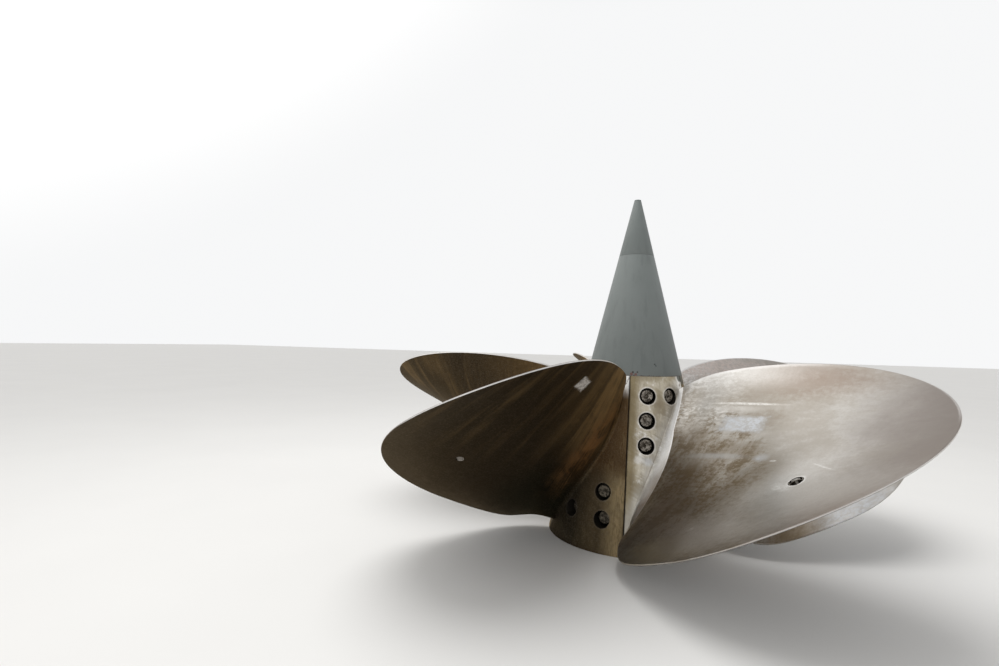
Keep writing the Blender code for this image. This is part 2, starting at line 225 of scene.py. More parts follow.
lamp = bpy.data.lights.new("overhead_lamp", 'AREA')
lamp.shape = 'DISK'
lamp.size = LAMP_SIZE
lamp.energy = LAMP_POWER
overhead = bpy.data.objects.new("overhead_lamp", lamp)
bpy.context.scene.collection.objects.link(overhead)
downwards = (-Vector(LAMP_PLACE)).to_track_quat('-Z', 'Y').to_matrix().to_4x4()
overhead.matrix_world = Matrix.Translation(LAMP_PLACE) @ downwards
overhead.visible_glossy = False


# Blade castings: five alike stainless steel castings, each a blade with its own sector of the hub's
# cone, which is called the palm. The blade is a helical sheet, thick at the root and thin at its flat
# edge, and a hollow fillet joins it to the palm. All of it was cast in one, ground, and bolted on.
BLADE_COUNT = 5
SECTOR = 2 * math.pi / BLADE_COUNT
FIRST_PALM = -math.pi / 2 + SECTOR / 2
TIP_RADIUS = 2.400
HUB_FOOT = 0.713
HUB_TOP = 0.402
HUB_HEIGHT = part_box("hub_core")[1][2]
BORE_FOOT = 0.4804
BORE_TOP = 0.2404
SEAM_GAP = 0.007
SEAM_EDGE = 0.0015

# The drawing's stations, as shares of the tip radius, and what the blade has at each
STATIONS = (0.30, 0.50, 0.70, 1.00)
PITCH = (6.08, 7.47, 7.94, 6.98)
SKEW_DEG = (-6.2, 0.3, 2.7, 7.7)
FACE_HEIGHT = (0.734, 0.839, 0.936, 1.142)
HALF_WIDTH = (0.851, 0.954, 1.006, 1.000)
TIP_ROUNDING = 7.4
EDGE_STANDOUT = 0.009
FACE_END = TIP_RADIUS - EDGE_STANDOUT
HOLLOW = 0.022
SIDE_END = 0.985

# Thickness, edges and fillet
ROOT_THICKNESS = 0.180
TIP_THICKNESS = 0.030
TIP_EDGE = 0.010
LOWER_ROOT_EDGE = 0.062
UPPER_ROOT_EDGE = 0.022
LOWER_FULLNESS = 2.4
LOWER_WEB = 0.070
LOWER_WEB_REACH = 0.30
UPPER_FULLNESS = 1.6
EDGE_TAPER = 5
FILLET = 0.035
WIDER_FILLET = 0.060
THICKER_FILLET = 0.012
WIDEST_SIDE = -0.58
WIDER_REACH = 0.85
FILLET_RIDGE = 0.45
FILLET_LIMIT = 0.9999
UPPER_FADE = 2
LOWER_FADE = 8

# How the root turns and droops, and where its upper corner is cut back
LOWER_TWIST_DEG = 6.5
UPPER_TWIST_DEG = 2.4
TWIST_REACH = 0.250
NOSE_OVERHANG_DEG = 1.4
NOSE_CLEARANCE = 0.005
SEAM_SHARPNESS = 14
NOSE_DROOP = 0.060
DROOP_CURVE = 1.5
DROOP_FROM = 1.632
DROOP_TO = 1.152
CORNER_DROP = 0.090
CORNER_REACH = 0.350

# The lifting hole, with its wider mouth on the face
HOLE_RADIUS = 0.030
HOLE_LENGTH = 0.40
HOLE_MOUTH_RADIUS = 0.040
HOLE_MOUTH_DEPTH = 0.012
MOUTH_CUTTER = 0.20
HOLE_RIM = 40
HOLE_FROM_AXIS = 1.798
HOLE_BELOW_MIDDLE = 0.163

# Points of the flat edge with its rounded corners, as shares of half the edge's thickness: how far
# over the middle and how far outwards
NOSE = ((1.0, 0.62), (0.96, 0.76), (0.85, 0.87), (0.70, 0.92),
        (-0.70, 0.92), (-0.85, 0.87), (-0.96, 0.76), (-1.0, 0.62))

# Rings of points round the blade: distances out of the hub, then shares of the way on to the tip
ROOT_RINGS = (-0.070, -0.020, -0.003)
FILLET_STEPS = 9
FIRST_STEP_BACK = 0.7
RINGS_BEYOND_FILLET = (0.045, 0.060, 0.080, 0.105, 0.130, 0.160)
OUTER_RINGS = 58
TIP_SHARES = (0.99985, 0.99995, 0.999985, 0.999999)
FACE_POINTS = 37
MERGE_DISTANCE = 0.00001
PALM_COLUMNS = 48
PALM_ROWS = 24
SMOOTH_DEG = 32
SEARCH_STEPS = 30
SEARCH_PACE = 0.6


def dress(obj, material):
    """Gives an object one finish all over."""
    obj.data.materials.clear()
    obj.data.materials.append(material)


def only(obj):
    """Selects one object alone."""
    bpy.ops.object.select_all(action='DESELECT')
    obj.select_set(True)
    bpy.context.view_layer.objects.active = obj


def apply_modifier(obj, kind, **settings):
    only(obj)
    modifier = obj.modifiers.new(kind.lower(), kind)
    for name, value in settings.items():
        setattr(modifier, name, value)
    bpy.ops.object.modifier_apply(modifier=modifier.name)


def cut(obj, cutter, operation='DIFFERENCE'):
    apply_modifier(obj, 'BOOLEAN', object=cutter, operation=operation, solver='EXACT')
    bpy.data.objects.remove(cutter)


def edit_mesh(*steps):
    """Does each step on the whole mesh, and then turns its faces outwards."""
    bpy.ops.object.mode_set(mode='EDIT')
    for step, settings in (*steps, (bpy.ops.mesh.normals_make_consistent, {"inside": False})):
        bpy.ops.mesh.select_all(action='SELECT')
        step(**settings)
    bpy.ops.object.mode_set(mode='OBJECT')


def clamp(value):
    return min(max(0.0, value), 1.0)


def at_station(values, share):
    """Value at a share of the tip radius: the cubic through the four stations."""
    total = 0.0
    for i, station in enumerate(STATIONS):
        weight = 1.0
        for j, other in enumerate(STATIONS):
            if j != i:
                weight *= (share - other) / (station - other)
        total += values[i] * weight
    return total


def hub_radius(height):
    return HUB_FOOT + (HUB_TOP - HUB_FOOT) * height / HUB_HEIGHT


def section(radius):
    """Pitch angle, azimuth and height of the middle, and half width of the section at a radius."""
    share = radius / TIP_RADIUS
    angle = math.atan2(at_station(PITCH, share), 2 * math.pi * radius)
    middle = math.radians(at_station(SKEW_DEG, share))
    rounding = math.sqrt(max(1e-8, 1 - min(radius / FACE_END, 1.0) ** TIP_ROUNDING))
    return angle, middle, at_station(FACE_HEIGHT, share), at_station(HALF_WIDTH, share) * rounding


def limits(radius):
    """Ends of the section along the pitch line."""
    angle, middle, height, half = section(radius)
    droop = max(0.0, DROOP_FROM - radius) / (DROOP_FROM - DROOP_TO)
    lower = half + NOSE_DROOP * droop ** DROOP_CURVE
    seam = (SECTOR / 2 + math.radians(NOSE_OVERHANG_DEG) + middle) * radius / math.cos(angle)
    lower = (lower ** -SEAM_SHARPNESS + seam ** -SEAM_SHARPNESS) ** (-1 / SEAM_SHARPNESS)
    near_hub = 1 - (radius - hub_radius(height + half * math.sin(angle))) / CORNER_REACH
    return -lower, half - CORNER_DROP * clamp(near_hub) ** 2


def on_section(radius, along, depth):
    """The point at a distance along the pitch line, sunk by a depth under the face."""
    angle, middle, height, _ = section(radius)
    azimuth = middle + (along * math.cos(angle) + depth * math.sin(angle)) / radius
    z = height + along * math.sin(angle) - depth * math.cos(angle)
    return Vector((radius * math.cos(azimuth), radius * math.sin(azimuth), z))


def to_tip(radius):
    """1 over most of the blade and 0 at its round tip, where the blade is all edge."""
    return 1 - min(radius / FACE_END, 1.0) ** TIP_ROUNDING


def thickness(side, radius):
    """Thickness at a place from -1, the lower edge, to 1, the upper edge."""
    share = min(1.0, (radius - HUB_TOP) / (TIP_RADIUS - HUB_TOP))
    most = ROOT_THICKNESS + (TIP_THICKNESS - ROOT_THICKNESS) * share
    root_edge = UPPER_ROOT_EDGE if side > 0 else LOWER_ROOT_EDGE
    fullness = UPPER_FULLNESS if side > 0 else LOWER_FULLNESS
    edge = TIP_EDGE + (root_edge - TIP_EDGE) * (1 - share) ** EDGE_TAPER
    if side < 0:
        edge += LOWER_WEB * clamp(1 - (radius - HUB_FOOT) / LOWER_WEB_REACH) ** 2
    return edge + (most - edge) * (1 - abs(side) ** fullness) * to_tip(radius)


def place_along(side, radius):
    lower, upper = limits(radius)
    return lower + (upper - lower) * (side + 1) / 2


def meets_hub(surface):
    """Radius at which a surface, given by its point at each radius, meets the hub."""
    radius = (HUB_FOOT + HUB_TOP) / 2
    for _ in range(SEARCH_STEPS):
        radius += SEARCH_PACE * (hub_radius(surface(radius).z) - radius)
    return radius


starts = {}


def face_depth(side, radius, below):
    """Depth under the pitch line of the face, or of the thick side below it."""
    if side not in starts:
        starts[side] = meets_hub(lambda at: on_section(at, place_along(side, at), 0.0))
    over = radius - starts[side]
    twist = LOWER_TWIST_DEG + (UPPER_TWIST_DEG - LOWER_TWIST_DEG) * max(0.0, side)
    lean = math.radians(twist) * clamp(1 - over / TWIST_REACH) ** 2
    depth = HOLLOW * (1 - side ** 2) * clamp(over / HUB_FOOT) * to_tip(radius)
    depth -= place_along(side, radius) * math.tan(lean)
    return depth + thickness(side, radius) if below else depth


def root_start(side, below):
    """Radius at which this side of the blade meets the hub."""
    return meets_hub(lambda at: on_section(at, place_along(side, at), face_depth(side, at, below)))


def fillet_growth(side, below):
    """0 where the fillet is plain and 1 where it is widest, on the face's lower half."""
    return 0.0 if below else clamp(1 - ((side - WIDEST_SIDE) / WIDER_REACH) ** 2)


def fillet_reach(side, below):
    """How far the fillet runs out over the blade."""
    return FILLET + WIDER_FILLET * fillet_growth(side, below)


def skin_point(side, radius, below):
    """A point of the blade's skin with the fillet that swells it towards the hub."""
    along = place_along(side, radius)
    depth = face_depth(side, radius, below)
    over_hub = radius - hub_radius(on_section(radius, along, depth).z)
    fade = side ** UPPER_FADE if side > 0 else side ** LOWER_FADE
    inside = min(clamp(1 - over_hub / fillet_reach(side, below)), FILLET_LIMIT)
    growth = fillet_growth(side, below)
    ridge = FILLET_RIDGE * growth
    swell = (1 - ridge) * (1 - math.sqrt(1 - inside ** 2)) + ridge * inside
    swell *= (FILLET + THICKER_FILLET * growth) * (1 - fade)
    return on_section(radius, along, depth + swell if below else depth - swell)


def ring_distances():
    """Distances from where the skin meets the hub, and then shares of the way on to the tip."""
    near = list(ROOT_RINGS)
    for i in range(1, FILLET_STEPS + 1):
        near.append(FILLET * (1 - math.cos(math.pi / 2 * (i - FIRST_STEP_BACK) / FILLET_STEPS)))
    near += RINGS_BEYOND_FILLET
    outer = [math.sin(math.pi / 2 * i / OUTER_RINGS) for i in range(1, OUTER_RINGS)]
    outer += TIP_SHARES
    return [(over, 0.0) for over in near] + [(near[-1], share) for share in outer]


sides = [SIDE_END * math.sin(math.pi * (i / (FACE_POINTS - 1) - 0.5)) for i in range(FACE_POINTS)]
roots = {(side, below): root_start(side, below) for side in sides for below in (False, True)}


def skin_row(over, share, below):
    """One row of points on one side of the blade, from its lower edge to its upper edge."""
    row = []
    for side in sides:
        start = roots[(side, below)] + over
        row.append(skin_point(side, start + (FACE_END - start) * share, below))
    return row


def nose(tops, bottoms, row, turn):
    """Points of the flat edge at a row, from the face to the thick side. It stands out square to
    the outline, which the rows before and after give."""
    top, bottom = tops[row], bottoms[row]
    before, after = max(0, row - 1), min(len(tops) - 1, row + 1)
    outline = tops[after] + bottoms[after] - tops[before] - bottoms[before]
    half = (top - bottom) / 2
    outwards = turn * outline.cross(half).normalized() * half.length
    return [(top + bottom) / 2 + half * rise + outwards * reach for rise, reach in NOSE]


def skin_rings():
    """Closed rings of points round the blade, from inside the palm to the tip."""
    faces = [skin_row(over, share, False) for over, share in ring_distances()]
    unders = [skin_row(over, share, True) for over, share in ring_distances()]
    rings = []
    for i in range(len(faces)):
        upper = nose([face[-1] for face in faces], [under[-1] for under in unders], i, -1)
        lower = nose([face[0] for face in faces], [under[0] for under in unders], i, 1)
        rings.append(faces[i] + upper + unders[i][::-1] + lower[::-1])
    return rings


skin = skin_rings()
around = len(skin[0])
last = len(skin) - 1

blade = added(
    bpy.ops.mesh.primitive_grid_add, "blade_form", x_subdivisions=around, y_subdivisions=last, size=1.0)
for vertex in blade.data.vertices:
    column = round((vertex.co.x + 0.5) * around)
    row = round((vertex.co.y + 0.5) * last)
    vertex.co = skin[row][column % around]
merged = {"threshold": MERGE_DISTANCE}
edit_mesh((bpy.ops.mesh.remove_doubles, merged), (bpy.ops.mesh.fill_holes, {"sides": 0}))


def spun_sector(name, inner, outer, heights, start, end, columns, rows):
    """A sector of a cone: a grid stood up as its profile and spun round the shaft's axis."""
    obj = added(bpy.ops.mesh.primitive_grid_add, name, x_subdivisions=1, y_subdivisions=rows, size=1.0)
    for vertex in obj.data.vertices:
        out, up = vertex.co.x + 0.5, vertex.co.y + 0.5
        low, high, z = [pair[0] + (pair[1] - pair[0]) * up for pair in (inner, outer, heights)]
        radius = low + (high - low) * out
        vertex.co = (radius * math.cos(start), radius * math.sin(start), z)
    spun = {"steps": columns, "angle": start - end, "center": (0, 0, 0), "axis": (0, 0, 1)}
    edit_mesh((bpy.ops.mesh.spin, spun))
    return obj


# The room of the other palms, with a little clearance, is taken out of the blade
NEARLY_AXIS = 0.0001
OVERSHOOT = 0.3
palm_half = SECTOR / 2 - SEAM_GAP / 2 / HUB_FOOT
heights = (-OVERSHOOT, HUB_HEIGHT + OVERSHOOT)
outer = [hub_radius(height) + NOSE_CLEARANCE for height in heights]
neighbours = spun_sector(
    "neighbours", (NEARLY_AXIS, NEARLY_AXIS), outer, heights,
    palm_half, 2 * math.pi - palm_half, PALM_COLUMNS * 4, 1)
cut(blade, neighbours)

casting = spun_sector(
    "casting", (BORE_FOOT, BORE_TOP), (HUB_FOOT, HUB_TOP), (0.0, HUB_HEIGHT),
    -palm_half, palm_half, PALM_COLUMNS, PALM_ROWS)
apply_modifier(casting, 'BEVEL', width=SEAM_EDGE, segments=2, limit_method='ANGLE')
cut(casting, blade, 'UNION')

# Places of the bolts on a palm: azimuth, height, and depth of the head's top under the surface
UPPER_FROM_SEAM = 0.147
UPPER_COLUMN = 3
UPPER_TOP = 1.208
UPPER_SPACING = 0.192
TOP_ROW_SPACING = 0.207
LOWER_FROM_SEAM = 0.178
LOWER_TOP = 0.453
LOWER_SPACING = 0.205
BOTTOM_ROW_SPACING = 0.305
BOTTOM_ROW_RISE = 0.024
HEAD_DEPTH = 0.022
LOW_HEAD_DEPTH = 0.060
HEAD_RADIUS = 0.051
HEAD_HEIGHT = 0.060
RECESS_RADIUS = 0.066
RECESS_RIM = 56
RECESS_OVERCUT = 0.110

bolt_places = []
for i in range(UPPER_COLUMN):
    z = UPPER_TOP - i * UPPER_SPACING
    bolt_places.append((-SECTOR / 2 + UPPER_FROM_SEAM / hub_radius(z), z, HEAD_DEPTH))
azimuth = -SECTOR / 2 + (UPPER_FROM_SEAM + TOP_ROW_SPACING) / hub_radius(UPPER_TOP)
bolt_places.append((azimuth, UPPER_TOP, HEAD_DEPTH))
for i, depth in enumerate((HEAD_DEPTH, LOW_HEAD_DEPTH)):
    z = LOWER_TOP - i * LOWER_SPACING
    bolt_places.append((SECTOR / 2 - LOWER_FROM_SEAM / hub_radius(z), z, depth))
z = LOWER_TOP - LOWER_SPACING + BOTTOM_ROW_RISE
azimuth = SECTOR / 2 - (LOWER_FROM_SEAM + BOTTOM_ROW_SPACING) / hub_radius(z)
bolt_places.append((azimuth, z, LOW_HEAD_DEPTH))


def out_of_hub(azimuth, height, depth):
    """Turns +Z out of the hub, with the top of the bolt's head at the origin."""
    place = Vector((hub_radius(height) - depth, 0.0, height))
    turn = Matrix.Rotation(math.pi / 2, 4, 'Y')
    return Matrix.Rotation(azimuth, 4, 'Z') @ Matrix.Translation(place) @ turn


def drill(obj, radius, length, matrix, rim):
    """Takes a round hole out of a casting."""
    drum = bpy.ops.mesh.primitive_cylinder_add
    cutter = added(drum, "cutter", vertices=rim, radius=radius, depth=length)
    cutter.data.transform(matrix)
    cut(obj, cutter)


for azimuth, height, depth in bolt_places:
    length = HEAD_HEIGHT + depth + RECESS_OVERCUT
    middle = Matrix.Translation((0, 0, depth + RECESS_OVERCUT - length / 2))
    drill(casting, RECESS_RADIUS, length, out_of_hub(azimuth, height, depth) @ middle, RECESS_RIM)

hole_place = on_section(HOLE_FROM_AXIS, -HOLE_BELOW_MIDDLE, HOLLOW)
hole_turn = Matrix.Rotation(math.atan2(hole_place.y, hole_place.x), 4, 'Z')
hole_turn = hole_turn @ Matrix.Rotation(section(HOLE_FROM_AXIS)[0], 4, 'X')
hole = Matrix.Translation(hole_place) @ hole_turn
mouth = hole @ Matrix.Translation((0, 0, MOUTH_CUTTER / 2 - HOLE_MOUTH_DEPTH))
drill(casting, HOLE_RADIUS, HOLE_LENGTH, hole, HOLE_RIM)
drill(casting, HOLE_MOUTH_RADIUS, MOUTH_CUTTER, mouth, HOLE_RIM)
only(casting)
bpy.ops.object.shade_smooth_by_angle(angle=math.radians(SMOOTH_DEG))

# Values that the casting's points carry for its finish: which side of the blade a point is on, how
# far it is from the edge and from the skin, and how far the fillet runs out there
DRAWN_VALUES = ("underside", "from_edge", "from_skin", "fillet_reach")
OUTLINE_STEPS = 1400
OUTLINE_FROM = 0.5
NARROWEST = 0.001
FAR_FROM_EDGE = 0.5


def edge_tree():
    """Points along the blade's whole outline, close together."""
    points = []
    outermost = TIP_SHARES[-1] * FACE_END
    for i in range(OUTLINE_STEPS + 1):
        share = math.sin(math.pi / 2 * i / OUTLINE_STEPS)
        radius = OUTLINE_FROM + (outermost - OUTLINE_FROM) * share
        for side in (-1, 1):
            points.append(on_section(radius, place_along(side, radius), thickness(side, radius) / 2))
    tree = KDTree(len(points))
    for i, point in enumerate(points):
        tree.insert(point, i)
    tree.balance()
    return tree


def lay_drawing(obj):
    """Gives the casting the blade drawing as a UV map in metres, distance along the section and
    radius, and the values in DRAWN_VALUES."""
    mesh = obj.data
    outline = edge_tree()
    for name in DRAWN_VALUES:
        mesh.attributes.new(name, 'FLOAT', 'POINT')
    under, rim, off, reach = [mesh.attributes[name] for name in DRAWN_VALUES]
    drawn = []
    for vertex in mesh.vertices:
        point = vertex.co
        radius = math.hypot(point.x, point.y)
        angle, middle, height, _ = section(radius)
        across = (math.atan2(point.y, point.x) - middle) * radius
        rise = point.z - height
        along = across * math.cos(angle) + rise * math.sin(angle)
        depth = across * math.sin(angle) - rise * math.cos(angle)
        lower, upper = limits(radius)
        side = 2 * (along - lower) / max(NARROWEST, upper - lower) - 1
        side = min(max(-SIDE_END, side), SIDE_END)
        reach.data[vertex.index].value = fillet_reach(side, False)
        side = min(sides, key=lambda drawn_side: abs(drawn_side - side))
        top = face_depth(side, radius, False)
        under.data[vertex.index].value = clamp((depth - top) / thickness(side, radius))
        off.data[vertex.index].value = max(0.0, top - depth, depth - top - thickness(side, radius))
        rim.data[vertex.index].value = min(outline.find(point)[2], FAR_FROM_EDGE)
        drawn.append((along, radius))
    layer = mesh.uv_layers.new(name="drawing")
    for loop in mesh.loops:
        layer.data[loop.index].uv = drawn[loop.vertex_index]


lay_drawing(casting)

# Colours of the ground steel, its stains and the worn marks
BRIGHT_STEEL = (0.60, 0.585, 0.56)
PALE_STEEL = (0.47, 0.44, 0.40)
ROSY_STEEL = (0.36, 0.325, 0.305)
DULL_STEEL = (0.34, 0.298, 0.240)
SANDY_STEEL = (0.58, 0.53, 0.40)
ROSY_WHITE = (0.93, 0.80, 0.74)
WHITE_STEEL = (0.86, 0.85, 0.83)
BLUE_STEEL = (0.60, 0.62, 0.65)
EDGE_STEEL = (0.95, 0.94, 0.93)
ROOT_BROWN = (0.205, 0.156, 0.098)
RED_BROWN = (0.30, 0.225, 0.175)
UNDER_BROWN = (0.038, 0.026, 0.014)
UNDER_BLACK = (0.016, 0.018, 0.010)
UNDER_GOLD = (0.36, 0.235, 0.105)
UNDER_ORANGE = (0.44, 0.235, 0.095)
UNDER_PALE = (0.30, 0.275, 0.225)
PALM_WARM = (0.53, 0.482, 0.385)
PALM_OLIVE = (0.26, 0.21, 0.125)
PALM_SHADE = (0.030, 0.024, 0.015)
PALM_UMBER = (0.085, 0.062, 0.034)
PALM_GOLD = (0.44, 0.34, 0.19)
STRIP_BROWN = (0.105, 0.062, 0.028)
LAP_PAINT = (0.142, 0.158, 0.152)
SEAM_GRIME = (0.030, 0.022, 0.015)
RECESS_GRIME_AND_SHADE = (0.022, 0.019, 0.015)
GLOSS_TINT = (0.66, 0.60, 0.52, 1.0)

# Where the finish changes, in metres: from palm to blade, at the edge's painted highlight, at a
# recess's worn and highlighted rim, at a seam, and down in a recess, which is painted in shade and
# grime
PALM_BORDER = (0.014, 0.006)
EDGE_HIGHLIGHT_BAND = (0.030, 0.015)
RIM_WEAR_AND_HIGHLIGHT = (0.081, 0.068)
SEAM_DIRTY = (-0.013, -0.002)
RECESS_DARK = (-0.002, -0.006)


def mark(work, drawing, ragged, centre, half, soft, turn_deg=0, square=False):
    """Mask of one worn mark on the blade drawing, with a ragged edge."""
    local = work.moved(drawing, (*centre, 0), math.radians(turn_deg), (*half, 1), 'TEXTURE')
    if square:
        x, y, _ = work.split(work.vector_math('ABSOLUTE', local))
        far = work.math('MAXIMUM', x, y)
    else:
        far = work.vector_math('LENGTH', local, output="Value")
    far = far + (ragged - 0.5) * min(1.6 * soft, 1.3)
    return work.ease(far, 1 + soft / 2, 1 - soft / 2)


def nearest_bolt(work, local):
    """Distance to the axis of the nearest bolt of the palm."""
    nearest = None
    for azimuth, height, _ in bolt_places:
        out = Vector((math.cos(azimuth), math.sin(azimuth), 0.0))
        centre = out * hub_radius(height) + Vector((0.0, 0.0, height))
        arm = work.vector_math('CROSS_PRODUCT', work.vector_math('SUBTRACT', local, centre), out)
        far = work.vector_math('LENGTH', arm, output="Value")
        nearest = far if nearest is None else work.math('MINIMUM', nearest, far)
    return nearest


def spot(work, place, ragged, centre, size, soft=0.2):
    """Mask of a ragged spot round a point."""
    far = work.vector_math('DISTANCE', place, centre, output="Value")
    return work.ease(far + (ragged - 0.5) * size * 1.5, size * (1 + soft), size * (1 - soft))


# Painted highlight along the upper edge of a face, where it catches the sky: its width, strength and
# furthest radius
edge_highlights = {1: [(0.045, 0.45, 1.7), (0.014, 0.50, 3.0)], 2: [(0.024, 0.95, 3.0)]}

# How much the finish turns the blade side of the fillet towards the palm
FILLET_SLOPE = 0.8

# Spots on the first palm: pale smears under and beside the bolts, and dark stains between them
palm_spots = {1: [
    ((0.100, -0.539, 0.722), 0.032, WHITE_STEEL, 0.60),
    ((0.160, -0.530, 0.706), 0.034, BLUE_STEEL, 0.60),
    ((0.215, -0.440, 0.985), 0.040, DULL_STEEL, 0.60),
    ((0.215, -0.385, 1.235), 0.045, PALM_OLIVE, 0.55),
    ((0.225, -0.395, 1.150), 0.035, ROOT_BROWN, 0.50),
]}

# Where the cone's paint laps over the seam between the first two palms; on the second palm the grey
# patch and the near-black spot in its top corner beside the first blade are partly dark stain and
# partly painted shade
paint_laps_and_shade = {
    1: [((0.376, -0.150, 1.355), 0.034, LAP_PAINT)],
    2: [((0.398, -0.085, 1.345), 0.055, LAP_PAINT), ((0.410, -0.050, 1.316), 0.014, RECESS_GRIME_AND_SHADE)],
}

# Where along the section the painted highlight on the flat edge starts, and on the blades whose lower
# edge has it too
EDGE_FROM = -0.15
edge_from = {1: -1.6, 2: -1.6}

# Worn marks, stains and some painted light and shade on the blade drawing: colour, strength, the side
# they are on, centre, half lengths along the section and outwards, softness, and for some a turn in
# degrees and square corners
HOLE_PLACE = (-HOLE_BELOW_MIDDLE, HOLE_FROM_AXIS)
front_marks = [
    (ROOT_BROWN, 0.35, "face", (0.64, 1.02), (0.15, 0.45), 1.8),
    (RED_BROWN, 0.75, "face", (0.83, 1.45), (0.15, 0.36), 1.8),
    (ROOT_BROWN, 0.45, "face", (0.40, 1.24), (0.08, 0.14), 1.6),
    (ROOT_BROWN, 0.45, "face", (0.14, 1.16), (0.07, 0.16), 1.6),
    (ROOT_BROWN, 0.50, "face", (-0.16, 1.48), (0.22, 0.13), 1.6, 35),
    (ROOT_BROWN, 0.40, "face", (0.62, 0.60), (0.06, 0.08), 1.6),
    (ROOT_BROWN, 0.40, "face", (0.57, 0.84), (0.05, 0.09), 1.6),
    (ROOT_BROWN, 0.55, "face", (0.225, 0.80), (0.07, 0.06), 1.6),
    (ROOT_BROWN, 0.60, "face", (-0.12, 0.93), (0.16, 0.10), 1.8),
    # Painted light: a sandy patch lightens a low part of the face that the lamps leave dark
    (SANDY_STEEL, 0.90, "face", (-0.86, 1.36), (0.13, 0.28), 1.6),
    (ROOT_BROWN, 0.50, "face", (-0.36, 1.12), (0.09, 0.17), 1.8),
    (PALE_STEEL, 0.50, "face", (0.35, 0.70), (0.12, 0.08), 1.6),
    (PALE_STEEL, 0.50, "face", (0.03, 0.88), (0.06, 0.14), 1.6),
    (BRIGHT_STEEL, 0.65, "face", (-0.70, 1.52), (0.17, 0.20), 1.8),
    (WHITE_STEEL, 0.50, "face", (-0.66, 1.68), (0.17, 0.30), 1.8),
    (WHITE_STEEL, 0.40, "face", (-0.12, 1.74), (0.30, 0.16), 1.6, 40),
    (BRIGHT_STEEL, 0.65, "face", (-0.32, 2.00), (0.18, 0.36), 1.8),
    (WHITE_STEEL, 0.55, "face", (0.84, 0.86), (0.11, 0.42), 1.8),
    (WHITE_STEEL, 0.25, "face", (0.62, 0.74), (0.16, 0.16), 1.4),
    (BLUE_STEEL, 0.95, "face", (0.365, 1.085), (0.066, 0.155), 0.6, 0, True),
    (WHITE_STEEL, 0.80, "face", (0.555, 1.04), (0.010, 0.24), 1.4),
    (WHITE_STEEL, 0.40, "face", (0.505, 0.98), (0.030, 0.14), 1.6),
    (BLUE_STEEL, 0.45, "face", (0.070, 1.02), (0.022, 0.22), 1.4),
    (BLUE_STEEL, 0.70, "face", (0.062, 1.40), (0.030, 0.05), 1.2),
    (WHITE_STEEL, 0.70, "face", (0.035, 1.505), (0.008, 0.022), 0.9),
    (WHITE_STEEL, 0.70, "face", (-0.030, 1.87), (0.006, 0.075), 1.2, 25),
    (WHITE_STEEL, 0.60, "face", (-0.620, 1.42), (0.02, 0.02), 1.2),
    (WHITE_STEEL, 0.70, "face", (-0.215, 1.740), (0.030, 0.070), 1.0, 20),
    # Round the lifting hole: a pale worn ring, then painted shade on the wall of its mouth, a thin
    # painted highlight on its lip, and painted shade down inside it
    (WHITE_STEEL, 0.90, "both", HOLE_PLACE, (0.053, 0.053), 0.30),
    (RECESS_GRIME_AND_SHADE, 1.6, "both", HOLE_PLACE, (0.0412, 0.0412), 0.03),
    (PALE_STEEL, 0.90, "both", HOLE_PLACE, (0.0370, 0.0370), 0.03),
    (RECESS_GRIME_AND_SHADE, 1.6, "both", HOLE_PLACE, (0.0335, 0.0335), 0.03),
]
second_marks = [
    (BLUE_STEEL, 0.75, "both", (-0.94, 1.72), (0.18, 0.34), 1.2),
    (ROOT_BROWN, 0.85, "both", (-0.93, 1.26), (0.14, 0.18), 1.6),
    (ROSY_WHITE, 0.55, "face", (0.86, 1.05), (0.14, 0.55), 1.2),
]
left_marks = [
    (EDGE_STEEL, 1.2, "under", (0.763, 1.366), (0.042, 0.066), 0.7, -20, True),
    (UNDER_GOLD, 0.30, "under", (0.58, 0.74), (0.16, 0.10), 1.8),
    (UNDER_ORANGE, 0.30, "under", (0.04, 0.76), (0.18, 0.13), 1.8),
    # Painted shade: near-black over the middle of the underside
    (UNDER_BLACK, 0.8, "under", (-0.52, 0.90), (0.42, 0.36), 1.6),
    # Painted light: the lifting hole seen from below is pale, for the sky seen through it
    (PALE_STEEL, 0.9, "both", HOLE_PLACE, (0.031, 0.031), 0.1),
]
back_marks = [
    (UNDER_GOLD, 0.25, "under", (0.86, 1.10), (0.16, 0.24), 1.6),
    (UNDER_GOLD, 0.20, "under", (0.82, 1.85), (0.16, 0.12), 1.6),
    (UNDER_BROWN, 0.65, "under", (0.80, 1.30), (0.40, 0.60), 1.6),
]
own_marks = {1: front_marks, 2: second_marks, 4: back_marks, 5: left_marks}


